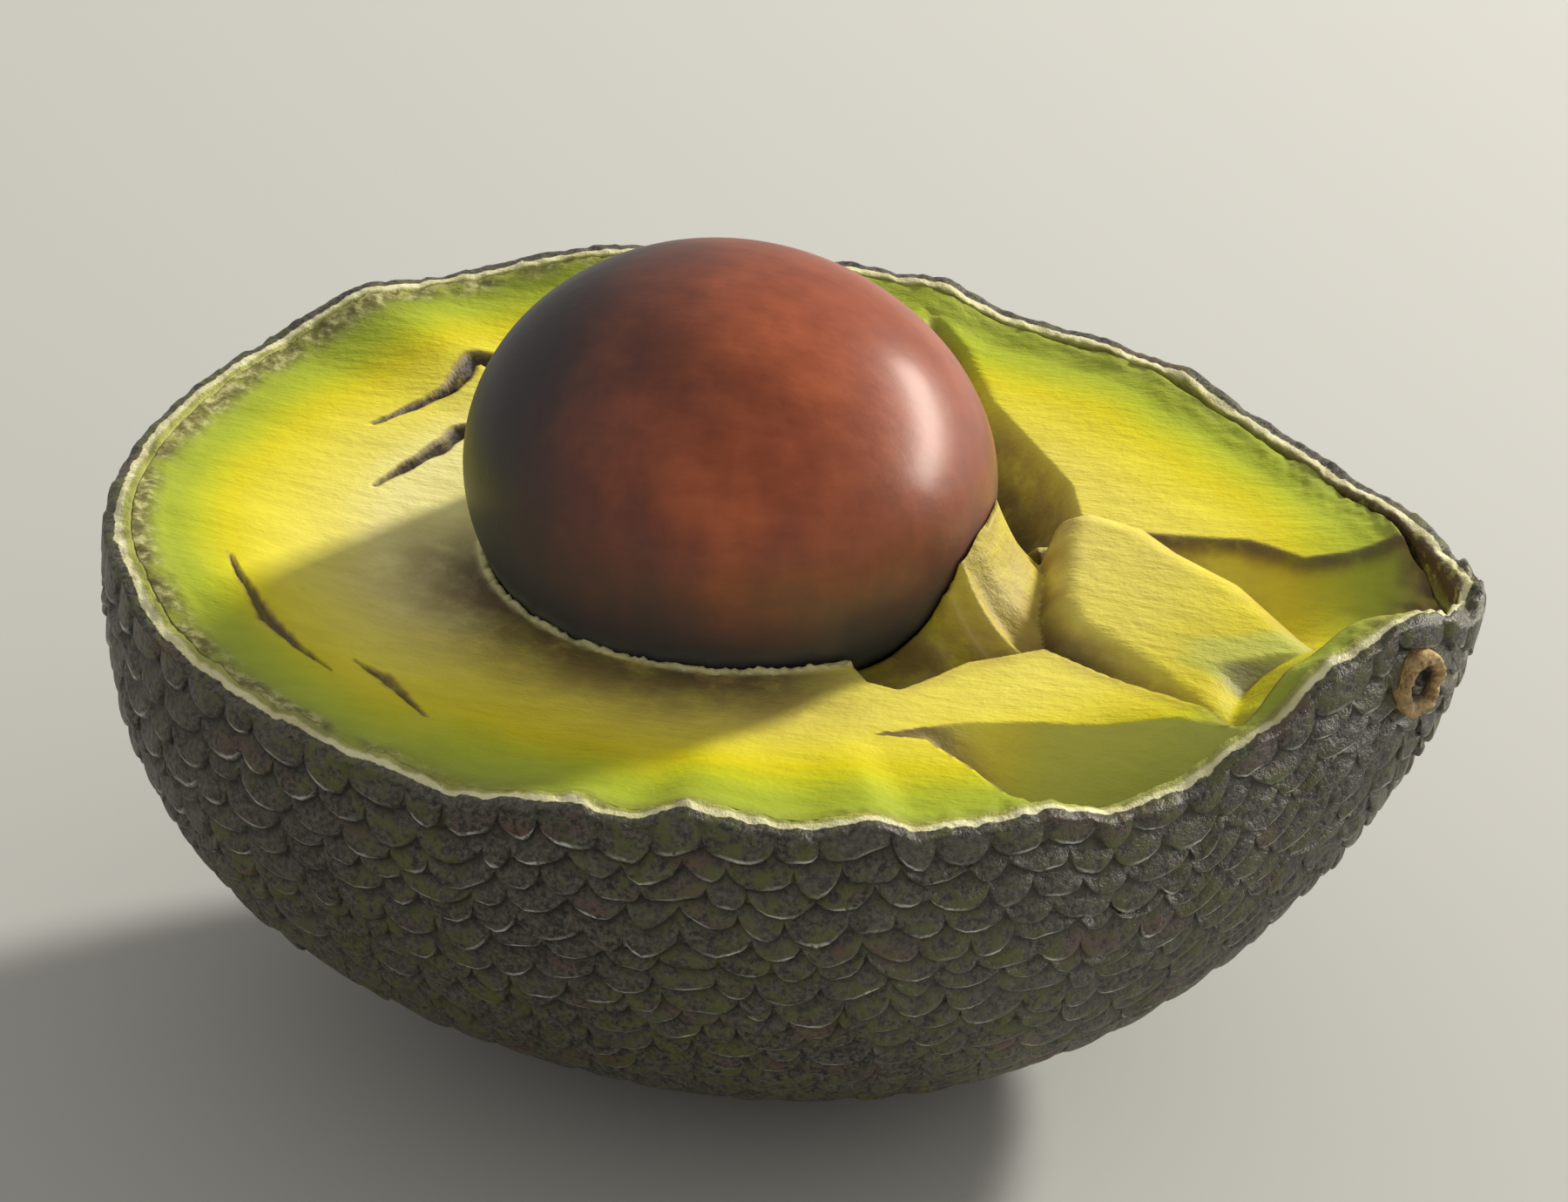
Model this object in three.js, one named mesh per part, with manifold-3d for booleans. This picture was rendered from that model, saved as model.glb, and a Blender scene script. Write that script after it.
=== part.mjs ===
// Half of a ripe avocado, cut along its length, with the stone still in its hollow.
// Millimetres, +Z up. +X points to the stalk end and -Y to the front, where the flesh is torn.
// The origin is the middle of the small flat spot that the half rests on.
import * as THREE from "three";
import { mergeVertices } from "three/addons/utils/BufferGeometryUtils.js";
import Module from "manifold-3d";

const wasm = await Module();
wasm.setup();

// Whole fruit, measured over the tops of its scales
const BLOSSOM_LENGTH = 48.1;
const STALK_LENGTH = 49;
const HALF_WIDTH = 36.25;
const PLAN_TAPER = [0.045, 0.129, 0.366];
const DEPTH_TAPER = [0.045, -0.036, 0.133];
const STALK_RISE = 8;
const RISE_POWER = 4.3;

// Where the knife went through, and how the half sits
const CUT_HEIGHT = 4.2;
const REST_DEPTH = 35.4;
const REST_X = -2.3;

// Skin
const SCALE_RELIEF = 1.0;
const SKIN_INSET = 2.1;
const SCALE_WIDTH = 6.4;
const SCALE_ROW = THREE.MathUtils.degToRad(6.6);
const SCALE_DROOP = 0.42;
const SCALE_STEP = THREE.MathUtils.degToRad(0.9);
const FIRST_ROW = THREE.MathUtils.degToRad(30);
const LAST_ROW = THREE.MathUtils.degToRad(-74);
const COLUMNS = 4;
const CROWDING = 0.35;
const LIP_ABOVE_FLESH = 0.5;

// Two pieces that lie against each other keep this much air
const GAP = 0.3;

// Stone: an egg on its side, standing high in its hollow
const STONE_CENTRE = new THREE.Vector3(-4.1, 0, CUT_HEIGHT + 4.6);
const STONE_RADII = new THREE.Vector3(18.6, 15.9, 15.9);

// The torn rim: azimuths in degrees, each with its height over the level cut
const RIM = [
  [-180, 0.2], [-168, 1.4], [-156, 2.4], [-148, 1.2], [-136, 0.3], [-125, -0.5], [-114, -1.2],
  [-101, 0.2], [-95, -0.3], [-88, 0.9], [-75, -0.2], [-68, 0.3], [-62, -0.9], [-50, -0.7],
  [-41, -2.3], [-35, -2.1], [-25, 0.2], [-16, 3.2], [-10, 4.2], [0, 0.9], [12, 0.9], [26, -0.7],
  [41, -1.2], [51, -0.4], [60, -0.9], [73, -1.3], [86, 0.7], [105, 1], [123, 1.9], [140, 0.3],
  [147, 0.8], [158, -0.9], [168, -0.7], [180, 0.2],
];

// Forms of the flesh, in plan from the fruit's centre, with heights from the cut
const DISH = 1.7;
const PIT = {
  outline: [
    [3.5, 32], [6.6, 29.2], [9.9, 22.6], [14.1, 17.5], [17.4, 13.5], [19.1, 9.2], [17.8, 6.6],
    [15, 4], [0, 6], [2, 20],
  ],
  depth: 8, slope: 1.5,
};
const TEAR = {
  outline: [
    [9, 4], [16.5, 5.5], [18.6, 9.2], [22, 8.2], [26.9, 8.3], [30.9, 8], [35.2, 5.9], [38, 6.6],
    [41.2, 8.2], [50, 8.6], [50, -5], [41.5, -5.6], [38.5, -9.5], [36.8, -11.5], [34.4, -16.2],
    [31.6, -13.5], [26.1, -10.8], [19.5, -7.2], [14.7, -9.7], [12.7, -12.2], [10.9, -14.2],
    [8.6, -13.6], [4, -8],
  ],
  depth: 6, depthAtStalk: 2.4, wall: 1.6,
  back: [[22, 8.2], [26.9, 8.3], [30.9, 8], [35.2, 5.9], [38, 6.6], [41.2, 8.2], [50, 8.6]],
  backDepth: 0.8, backSlope: 0.42,
};
const LOBE = {
  outline: [
    [17, 2.5], [17.3, 5.6], [19.7, 7.3], [24.4, 6.8], [27.3, 5.1], [32, 3.3], [37, -0.6], [41, -3],
    [37.8, -8.4], [36.8, -11], [33.8, -15], [29.4, -12.5], [25.8, -10.2], [20, -7.4], [17.9, -4.2],
  ],
  top: [22, 3], height: 1.5, slopeX: -0.1, slopeY: 0.2, drop: 5.5, edge: 3.4,
};
const LEDGE = { top: [[30, -6.4], [37.5, -4]], foot: [[30, -6.9], [37.5, -8.1]], depth: 2.7 };
const CLINGING = {
  crest: [
    [11, -3], [6, 3.4], [0, 5.6], [-12, 5.2], [-20.5, 4], [-24.5, 1.7], [-28, -2], [-32, -3.7],
    [-50, -4.6],
  ],
  drop: [[10, 6], [0, 9], [-17, 9], [-24, 6.5], [-31, 1.4], [-50, 0.8]],
  reach: 2.6,
};
const SCOOP = {
  crest: [
    [10.2, -20.4], [13.6, -18.6], [16.2, -17.4], [20.8, -16.2], [25.4, -15.5], [29.9, -14.7],
    [33.4, -15.7], [36.5, -17.8],
  ],
  front: [
    [10.2, -20.4], [13.9, -20.1], [17.3, -22.6], [20.2, -25.1], [23, -26.9], [27, -29.8], [31, -33],
  ],
  depth: 4.2, slope: 0.85, wall: 0.9,
};
const CRACKS = [
  [[-15.5, 13], [-22, 18.6], [-27.6, 18.4], [-28.5, 15.1], [-30.4, 12.5], [-32.5, 9.7]],
  [[-17.5, 10.5], [-21.5, 11.8], [-26.3, 10.4], [-27.4, 7.3], [-28.9, 4.8], [-30.3, 1.9]],
];
const CRACK_DEPTH = 2.6;
const CRACK_HALF_WIDTH = 1.5;

// Stalk scar: where on the skin, and its size
const SCAR_AZIMUTH = THREE.MathUtils.degToRad(-22);
const SCAR_ELEVATION = THREE.MathUtils.degToRad(-4);
const SCAR_RADIUS = 2.6;
const SCAR_NARROWING = 0.76;
const SCAR_PROUD = 0.75;

// Colours
const MATERIALS = {
  skin: new THREE.MeshStandardMaterial({ color: 0x2a2620, roughness: 0.55, metalness: 0 }),
  flesh: new THREE.MeshStandardMaterial({ color: 0xd9d24a, roughness: 0.5, metalness: 0 }),
  seed: new THREE.MeshStandardMaterial({ color: 0x6a2a17, roughness: 0.25, metalness: 0 }),
  stem_scar: new THREE.MeshStandardMaterial({ color: 0x9a6a3c, roughness: 0.8, metalness: 0 }),
};

const mix = THREE.MathUtils.lerp;

// Eases from 0 to 1 as a value goes from one limit to the other, which may be the lower one
function smooth(from, to, value) {
  const t = THREE.MathUtils.clamp((value - from) / (to - from), 0, 1);
  return t * t * (3 - 2 * t);
}

// Numbers from 0 to 1, the same in each run
function seededRandom(seed) {
  let state = seed;
  return () => {
    state = (state * 1664525 + 1013904223) % 4294967296;
    return state / 4294967296;
  };
}

// Direction from the fruit's centre, from an azimuth round +Z and an elevation, in radians
function direction(azimuth, elevation) {
  const level = Math.cos(elevation);
  return new THREE.Vector3(
    level * Math.cos(azimuth),
    level * Math.sin(azimuth),
    Math.sin(elevation),
  );
}

// Half the fruit's width or depth, by how far along its length a place lies, from -1 to 1
function girth(t, taper) {
  return HALF_WIDTH * (1 - t * (taper[0] + t * (taper[1] + t * taper[2])));
}

// The fruit's surface over the scales' tops: an egg that narrows and rises towards the stalk
function fruit(d) {
  const length = d.x > 0 ? STALK_LENGTH : BLOSSOM_LENGTH;
  const rise = STALK_RISE * Math.max(d.x, 0) ** RISE_POWER;
  return new THREE.Vector3(
    length * d.x,
    girth(d.x, PLAN_TAPER) * d.y,
    girth(d.x, DEPTH_TAPER) * d.z + rise,
  );
}

// A point that lies inset below the fruit's surface, measured square to it
function under(d, inset) {
  const side = new THREE.Vector3(-d.y, d.x, 0);
  if (side.lengthSq() < 1e-6) side.set(0, 1, 0);
  side.normalize();
  const up = new THREE.Vector3().crossVectors(d, side);
  const nudge = 1e-3;
  const here = fruit(d);
  const along = fruit(d.clone().addScaledVector(side, nudge).normalize()).sub(here);
  const across = fruit(d.clone().addScaledVector(up, nudge).normalize()).sub(here);
  const normal = along.cross(across).normalize();
  return here.addScaledVector(normal, -inset);
}

// A smooth run through pairs of place and height, in rising or falling order of place
function through(knots, at) {
  const forward = knots[0][0] < knots[1][0];
  const next = knots.findIndex(([place]) => (forward ? place >= at : place <= at));
  if (next < 0) return knots[knots.length - 1][1];
  if (next === 0) return knots[0][1];
  const [from, low] = knots[next - 1];
  const [to, high] = knots[next];
  return mix(low, high, smooth(from, to, at));
}

// Height of the rim over the level cut, by azimuth in radians
function rimWave(azimuth) {
  const degrees = THREE.MathUtils.radToDeg(azimuth);
  return through(RIM, degrees > 180 ? degrees - 360 : degrees);
}

// Closed surfaces are woven from loops of points, each running once round the Z axis
class Weave {
  constructor() {
    this.points = [];
    this.faces = [];
  }
  add(point) {
    return this.points.push(point) - 1;
  }
  // place(share) gives a loop's point at that share of the way round
  loop(count, offset, place) {
    return Array.from({ length: count }, (_, i) => {
      const share = (i + offset) / count;
      return { share, index: this.add(place(share, i)) };
    });
  }
  // A band of faces between two loops of any counts, facing out where the first loop is on top
  join(upper, lower) {
    const at = (loop, i) => loop[i % loop.length].index;
    const share = (loop, i) => loop[i % loop.length].share + Math.floor(i / loop.length);
    let i = 0;
    let j = 0;
    while (i < upper.length || j < lower.length) {
      const goUpper = j >= lower.length || (i < upper.length && share(upper, i + 1) < share(lower, j + 1));
      if (goUpper) {
        this.faces.push([at(upper, i), at(lower, j), at(upper, i + 1)]);
        i += 1;
      } else {
        this.faces.push([at(upper, i), at(lower, j), at(lower, j + 1)]);
        j += 1;
      }
    }
  }
  // A fan that closes a loop from above or below
  close(loop, apex, fromAbove) {
    const tip = this.add(apex);
    loop.forEach((_, i) => {
      const a = loop[i].index;
      const b = loop[(i + 1) % loop.length].index;
      this.faces.push(fromAbove ? [a, b, tip] : [b, a, tip]);
    });
  }
  geometry() {
    const flat = this.faces.flatMap((face) => face.flatMap((i) => this.points[i].toArray()));
    const position = new THREE.Float32BufferAttribute(flat, 3);
    return new THREE.BufferGeometry().setAttribute("position", position);
  }
}

function toSolid(geometry) {
  const bare = geometry.clone();
  bare.deleteAttribute("normal");
  bare.deleteAttribute("uv");
  const merged = mergeVertices(bare, 1e-4);
  return new wasm.Manifold(
    new wasm.Mesh({
      numProp: 3,
      vertProperties: new Float32Array(merged.attributes.position.array),
      triVerts: new Uint32Array(merged.index.array),
    }),
  );
}

function toGeometry(solid) {
  const mesh = solid.getMesh();
  const geometry = new THREE.BufferGeometry();
  geometry.setAttribute("position", new THREE.BufferAttribute(mesh.vertProperties, 3));
  geometry.setIndex(new THREE.BufferAttribute(mesh.triVerts, 1));
  geometry.computeVertexNormals();
  return geometry;
}

// The whole fruit shrunk by an inset, smooth
function smoothFruit(inset, around, rows) {
  const weave = new Weave();
  let above = null;
  for (let row = 1; row < rows; row += 1) {
    const elevation = Math.PI / 2 - (Math.PI * row) / rows;
    const count = Math.max(12, Math.round((around * Math.cos(elevation)) / 4) * 4);
    const place = (share) => under(direction(2 * Math.PI * share, elevation), inset);
    const loop = weave.loop(count, 0, place);
    if (above) weave.join(above, loop);
    else weave.close(loop, under(direction(0, Math.PI / 2), inset), true);
    above = loop;
  }
  weave.close(above, under(direction(0, -Math.PI / 2), inset), false);
  return toSolid(weave.geometry());
}

// Azimuth at a share of the way round, spread out at the narrow stalk end
function spread(share) {
  const turn = 2 * Math.PI * share;
  return turn + CROWDING * Math.sin(turn);
}

// The whole fruit with its rows of drooping scales, each row lapping over the one below
function scalyFruit() {
  const weave = new Weave();
  const random = seededRandom(7);
  const girth = 2 * Math.PI * Math.hypot(BLOSSOM_LENGTH, HALF_WIDTH) * Math.SQRT1_2;
  const cover = (elevation, relief) =>
    mix(SCALE_RELIEF - relief, 0, smooth(LAST_ROW + SCALE_ROW, LAST_ROW, elevation));
  let above = null;
  let row = 0;
  for (let base = FIRST_ROW; base > LAST_ROW; base -= SCALE_ROW) {
    const scales = Math.max(6, Math.round((girth * Math.cos(base)) / SCALE_WIDTH));
    const count = scales * COLUMNS;
    const stagger = (row % 2) * (COLUMNS / 2);
    const bulk = Array.from({ length: scales }, () => 0.75 + 0.5 * random());
    const shape = (i) => {
      const column = (i + stagger) % count;
      const across = (column % COLUMNS) / COLUMNS - 0.5;
      return { belly: Math.cos(Math.PI * across), bulk: bulk[Math.floor(column / COLUMNS)] };
    };
    const line = (height, lifted) =>
      weave.loop(count, 0, (share, i) => {
        const { belly, bulk: own } = shape(i);
        const elevation = height - SCALE_ROW * SCALE_DROOP * belly * own;
        const relief = lifted ? SCALE_RELIEF * (0.3 + 0.7 * belly * Math.min(own, 1)) : 0;
        return under(direction(spread(share), elevation), cover(elevation, relief));
      });
    const lip = line(base, true);
    const root = line(base - SCALE_STEP, false);
    if (above) weave.join(above, lip);
    else weave.close(lip, fruit(direction(0, Math.PI / 2)), true);
    weave.join(lip, root);
    above = root;
    row += 1;
  }
  weave.close(above, fruit(direction(0, -Math.PI / 2)), false);
  return toSolid(weave.geometry());
}

// All that lies over the rim, raised by a lift
function overRim(lift) {
  const weave = new Weave();
  const count = 120;
  const ring = (radius, height) =>
    weave.loop(count, 0, (share) => {
      const azimuth = 2 * Math.PI * share;
      return new THREE.Vector3(
        radius * Math.cos(azimuth),
        radius * Math.sin(azimuth),
        height === null ? CUT_HEIGHT + lift + rimWave(azimuth) : height,
      );
    });
  const top = ring(80, 60);
  const outer = ring(80, null);
  const inner = ring(18, null);
  weave.close(top, new THREE.Vector3(0, 0, 60), true);
  weave.join(top, outer);
  weave.join(outer, inner);
  weave.close(inner, new THREE.Vector3(0, 0, CUT_HEIGHT + lift), false);
  return toSolid(weave.geometry());
}

// Nearest place on a path in plan: how far away it is, and how far along, from 0 to 1
function nearPath(x, y, path) {
  let best = { distance: Infinity, along: 0 };
  for (let i = 0; i + 1 < path.length; i += 1) {
    const [ax, ay] = path[i];
    const [bx, by] = path[i + 1];
    const length = (bx - ax) ** 2 + (by - ay) ** 2;
    const t = THREE.MathUtils.clamp(((x - ax) * (bx - ax) + (y - ay) * (by - ay)) / length, 0, 1);
    const distance = Math.hypot(x - mix(ax, bx, t), y - mix(ay, by, t));
    if (distance < best.distance) best = { distance, along: (i + t) / (path.length - 1) };
  }
  return best;
}

// How far a place in plan is inside a closed outline; negative outside
function insideBy(x, y, outline) {
  let inside = false;
  outline.forEach(([ax, ay], i) => {
    const [bx, by] = outline[(i + 1) % outline.length];
    if (ay > y !== by > y && x < ((bx - ax) * (y - ay)) / (by - ay) + ax) inside = !inside;
  });
  const { distance } = nearPath(x, y, [...outline, outline[0]]);
  return inside ? distance : -distance;
}

// Height of the bowl's inner wall at a place in plan, from the cut
function bowlHeight(x, y) {
  const t = THREE.MathUtils.clamp(x / (x > 0 ? STALK_LENGTH : BLOSSOM_LENGTH), -1, 1);
  const width = girth(t, PLAN_TAPER) - SKIN_INSET;
  const depth = girth(t, DEPTH_TAPER) - SKIN_INSET;
  const across = Math.max(1 - t * t - (y / width) ** 2, 0);
  const rise = STALK_RISE * Math.max(t, 0) ** RISE_POWER;
  return rise - CUT_HEIGHT - depth * Math.sqrt(across);
}

// The sheet of flesh that still clings to the stone, at its right and front
function clingingFlesh(x, y) {
  const dx = (x - STONE_CENTRE.x) / STONE_RADII.x;
  const dy = (y - STONE_CENTRE.y) / STONE_RADII.y;
  const bearing = THREE.MathUtils.radToDeg(Math.atan2(dy, dx));
  const away = Math.max((Math.hypot(dx, dy) - 1) * STONE_RADII.y, 0);
  const fall = 1 - Math.exp(-away / CLINGING.reach);
  return through(CLINGING.crest, bearing) - through(CLINGING.drop, bearing) * fall;
}

// The big torn lump to the right of the stone, with a rounded edge and a ledge torn down in front
function lobe(x, y) {
  const inside = insideBy(x, y, LOBE.outline);
  if (inside <= 0) return -Infinity;
  const round = Math.sqrt(1 - Math.max(1 - inside / LOBE.edge, 0) ** 2);
  const top = LOBE.height + LOBE.slopeX * (x - LOBE.top[0]) + LOBE.slopeY * (y - LOBE.top[1]);
  const share = smooth(30, 37.5, x);
  const ledgeTop = mix(LEDGE.top[0][1], LEDGE.top[1][1], share);
  const ledgeFoot = mix(LEDGE.foot[0][1], LEDGE.foot[1][1], share);
  const down = Math.min(Math.max((ledgeTop - y) / (ledgeTop - ledgeFoot), 0), 1);
  const ledge = LEDGE.depth * smooth(30.5, 37, x) * down * smooth(8, 0, ledgeFoot - y);
  return top - LOBE.drop * (1 - round) - ledge;
}

// Height of the flesh over the level cut, at a place in plan
function fleshHeight(x, y) {
  const azimuth = Math.atan2(y, x);
  const bowl = bowlHeight(x, y);
  const rim = Math.hypot(x / BLOSSOM_LENGTH, y / HALF_WIDTH);
  const ripple = 0.18 * Math.sin(0.9 * x + 1.3 * Math.sin(0.35 * y)) * Math.sin(0.7 * y);
  let height = rimWave(azimuth) * smooth(0.55, 0.95, rim) - DISH * (1 - smooth(0.35, 1, rim)) + ripple;

  const inPit = insideBy(x, y, PIT.outline);
  if (inPit > 0) height -= Math.min(PIT.slope * inPit, PIT.depth);

  const torn = insideBy(x, y, TEAR.outline);
  if (torn > 0) {
    const fromBack = nearPath(x, y, TEAR.back).distance;
    const full = mix(TEAR.depth, TEAR.depthAtStalk, smooth(24, 40, x));
    const shallow = Math.min(full, TEAR.backDepth + TEAR.backSlope * fromBack);
    const depth = mix(full, shallow, smooth(20.5, 25, x));
    height = Math.min(height, Math.max(height - depth * smooth(0, TEAR.wall, torn), bowl + 2));
  }

  const scooped = [...SCOOP.crest, ...[...SCOOP.front].reverse()];
  if (insideBy(x, y, scooped) > 0) {
    const fromCrest = nearPath(x, y, SCOOP.crest).distance;
    const fromFront = nearPath(x, y, SCOOP.front).distance;
    const drop = Math.min(SCOOP.depth, SCOOP.slope * fromCrest) * smooth(0, SCOOP.wall, fromFront);
    height = Math.max(height - drop, Math.min(height, bowl + 1.6));
  }
  for (const crack of CRACKS) {
    const { distance, along } = nearPath(x, y, crack);
    const half = CRACK_HALF_WIDTH * (1 - 0.8 * along);
    height -= CRACK_DEPTH * (1 - 0.7 * along) * Math.max(0, 1 - distance / half);
  }
  return Math.max(height, clingingFlesh(x, y), lobe(x, y));
}

// Everything below the flesh's torn and cut surface, as a block on a grid that is finer at the tear
function underFlesh() {
  const xs = [];
  for (let x = -50; x < 52; x += x > 6 ? 1.35 : 2.7) xs.push(x);
  const ys = [];
  for (let y = -38; y <= 38; y += 1.6) ys.push(y);
  const floor = -60;
  const points = [];
  for (const height of [null, floor]) {
    for (const y of ys) {
      for (const x of xs) {
        const z = height === null ? CUT_HEIGHT - LIP_ABOVE_FLESH + fleshHeight(x, y) : floor;
        points.push(new THREE.Vector3(x, y, z));
      }
    }
  }
  const across = xs.length;
  const layer = across * ys.length;
  const faces = [];
  const quad = (a, b, c, d) => faces.push([a, b, c], [a, c, d]);
  for (let j = 0; j + 1 < ys.length; j += 1) {
    for (let i = 0; i + 1 < across; i += 1) {
      const a = j * across + i;
      quad(a, a + 1, a + 1 + across, a + across);
      quad(layer + a, layer + a + across, layer + a + 1 + across, layer + a + 1);
    }
  }
  const wall = (a, b) => quad(b, a, a + layer, b + layer);
  const last = (ys.length - 1) * across;
  for (let i = 0; i + 1 < across; i += 1) {
    wall(i, i + 1);
    wall(last + i + 1, last + i);
  }
  for (let j = 0; j + 1 < ys.length; j += 1) {
    wall((j + 1) * across, j * across);
    wall(j * across + across - 1, (j + 1) * across + across - 1);
  }
  const flat = faces.flatMap((face) => face.flatMap((i) => points[i].toArray()));
  const position = new THREE.Float32BufferAttribute(flat, 3);
  return toSolid(new THREE.BufferGeometry().setAttribute("position", position));
}

// The stone's egg, grown by a gap
function stone(gap, around, rows) {
  const geometry = new THREE.SphereGeometry(1, around, rows);
  geometry.rotateY(Math.PI / 2);
  geometry.scale(STONE_RADII.x + gap, STONE_RADII.y + gap, STONE_RADII.z + gap);
  const blunt = geometry.attributes.position;
  for (let i = 0; i < blunt.count; i += 1) {
    const t = blunt.getX(i) / STONE_RADII.x;
    const width = 1 - 0.03 * t - 0.02 * t * t;
    blunt.setY(i, blunt.getY(i) * width);
    blunt.setZ(i, blunt.getZ(i) * width);
  }
  geometry.translate(...STONE_CENTRE.toArray());
  return toSolid(geometry);
}

// A turned oval plug that leaves the skin square at the stalk scar; profile is radius and height pairs
function atScar(profile) {
  const geometry = new THREE.LatheGeometry(profile.map(([r, h]) => new THREE.Vector2(r, h)), 20);
  geometry.scale(SCAR_NARROWING, 1, 1);
  const d = direction(SCAR_AZIMUTH, SCAR_ELEVATION);
  const foot = under(d, 0);
  const out = foot.clone().sub(under(d, 1)).normalize();
  geometry.applyQuaternion(new THREE.Quaternion().setFromUnitVectors(new THREE.Vector3(0, 1, 0), out));
  geometry.translate(...foot.toArray());
  return toSolid(geometry);
}

function skin() {
  const hole = atScar([[0, -6], [SCAR_RADIUS + GAP, -6], [SCAR_RADIUS + GAP, 4], [0, 4]]);
  const below = new THREE.BoxGeometry(120, 120, 20);
  below.translate(0, 0, -REST_DEPTH - 10);
  return scalyFruit()
    .subtract(smoothFruit(SKIN_INSET, 56, 22))
    .subtract(overRim(0))
    .subtract(hole)
    .subtract(toSolid(below));
}

function flesh() {
  return smoothFruit(SKIN_INSET + GAP, 56, 22)
    .intersect(underFlesh())
    .subtract(stone(GAP, 32, 20));
}

// Corky ring with a sunken middle, rooted through the skin
function stemScar() {
  const inner = GAP - SKIN_INSET;
  return atScar([
    [0, inner],
    [SCAR_RADIUS, inner],
    [SCAR_RADIUS, SCAR_PROUD * 0.5],
    [SCAR_RADIUS * 0.86, SCAR_PROUD],
    [SCAR_RADIUS * 0.66, SCAR_PROUD * 0.9],
    [SCAR_RADIUS * 0.5, SCAR_PROUD * 0.1],
    [SCAR_RADIUS * 0.2, SCAR_PROUD * 0.2],
    [0, SCAR_PROUD * 0.2],
  ]);
}

const pieces = {
  skin: skin(),
  flesh: flesh(),
  seed: stone(0, 36, 24),
  stem_scar: stemScar(),
};

const avocado = new THREE.Group();
avocado.position.set(-REST_X, 0, REST_DEPTH);
for (const [name, solid] of Object.entries(pieces)) {
  const mesh = new THREE.Mesh(toGeometry(solid), MATERIALS[name]);
  mesh.name = name;
  avocado.add(mesh);
}

export default avocado;
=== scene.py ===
# The looks of an avocado half with its stone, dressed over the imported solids.
# Shapes are worked out in millimetres from the whole fruit's centre, as the solids were,
# and go into the meshes in metres from the middle of the flat spot that the half rests on.
import math

import bpy
import numpy as np
from mathutils import Matrix, Vector


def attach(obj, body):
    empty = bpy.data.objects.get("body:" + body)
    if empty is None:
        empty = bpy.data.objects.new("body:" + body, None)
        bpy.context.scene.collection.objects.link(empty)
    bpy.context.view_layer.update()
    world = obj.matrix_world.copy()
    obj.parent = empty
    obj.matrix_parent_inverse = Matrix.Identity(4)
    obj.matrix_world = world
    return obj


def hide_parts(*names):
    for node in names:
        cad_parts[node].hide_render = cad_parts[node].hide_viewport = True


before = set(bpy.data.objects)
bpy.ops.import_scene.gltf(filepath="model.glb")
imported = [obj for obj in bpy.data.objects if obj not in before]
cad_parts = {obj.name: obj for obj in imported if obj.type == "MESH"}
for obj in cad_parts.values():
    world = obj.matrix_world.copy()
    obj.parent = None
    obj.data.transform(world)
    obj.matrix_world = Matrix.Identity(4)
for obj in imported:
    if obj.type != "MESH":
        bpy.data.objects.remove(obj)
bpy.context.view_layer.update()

MM = 0.001

# Whole fruit, over the tops of its scales
BLOSSOM_LENGTH = 48.1
STALK_LENGTH = 49.0
HALF_WIDTH = 36.25

# How its girth falls towards the stalk, by the place along it, the square and the cube of that,
# and how its middle rises there
PLAN_TAPER = (0.045, 0.129, 0.366)
DEPTH_TAPER = (0.045, -0.036, 0.133)
STALK_RISE = 8.0
RISE_POWER = 4.3

# Where the knife went through, and how the half sits
CUT_HEIGHT = 4.2
REST_DEPTH = 35.4
REST_X = -2.3

# Skin
SKIN_INSET = 2.1
LIP_ABOVE_FLESH = 0.5
SCALE_WIDTH = 3.7
SCALE_ROWS = 25
SCALE_RELIEF = 0.75
SCALE_TOP_INSET = 0.12
SCALE_OVERLAP = 0.14
FIRST_OVERLAP = 0.05
LEAST_SCALE = 0.24
SCALE_SWAY = 0.17
LAST_ROW = math.radians(-76)

# Where the mesh of a scale has points, as shares of the way across it and down it
SCALE_COLUMNS = np.array((0.0, 0.06, 0.16, 0.32, 0.5, 0.68, 0.84, 0.94))
SCALE_LINES = (0.0, 0.2, 0.45, 0.68, 0.84, 0.93, 1.0)

# The skin's inside and its cut rim
INNER_COLUMNS = 160
INNER_ROWS = np.radians(np.linspace(-80, -8, 14))
RIM_COLUMNS = 640

# Rings over the peel's cut edge, from inside out: depth below the fruit's surface, and lift
RIM_RINGS = (
    (2.1, -1.3), (2.1, -0.1), (2.04, -0.02), (1.85, 0.0), (1.65, 0.03), (1.45, 0.04), (1.25, 0.0),
    (1.0, -0.02), (0.75, -0.06), (0.5, -0.14), (0.3, -0.28),
)

# The torn rim: azimuths in degrees, each with its height over the level cut
RIM = (
    (-180, 0.2), (-168, 1.4), (-156, 2.4), (-148, 1.2), (-136, 0.3), (-125, -0.5), (-114, -1.2),
    (-101, 0.2), (-95, -0.3), (-88, 0.9), (-75, -0.2), (-68, 0.3), (-62, -0.9), (-50, -0.7),
    (-41, -2.3), (-35, -2.1), (-25, 0.2), (-16, 3.2), (-10, 4.2), (0, 0.9), (12, 0.9), (26, -0.7),
    (41, -1.2), (51, -0.4), (60, -0.9), (73, -1.3), (86, 0.7), (105, 1), (123, 1.9), (140, 0.3),
    (147, 0.8), (158, -0.9), (168, -0.7), (180, 0.2),
)

# Stone: an egg on its side
STONE_CENTRE = (-4.1, 0.0, CUT_HEIGHT + 4.6)
STONE_RADII = (18.6, 15.9, 15.9)
STONE_TAPER = (0.03, 0.02)
STONE_GAP = 0.12
HOLLOW_RADII = tuple(radius + STONE_GAP for radius in STONE_RADII)

# Flesh: its azimuths in degrees, closer together in front, and how it lies in the skin
FINE_DEGREES = (-76, 48, 0.44)
COARSE_DEGREES = (48, 284, 0.9)
SKIN_GAP = 0.03
DEEP_INSET = SKIN_INSET + 0.3
EDGE_SINK = 0.05
FLESH_FOOT = math.radians(-82)

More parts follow.
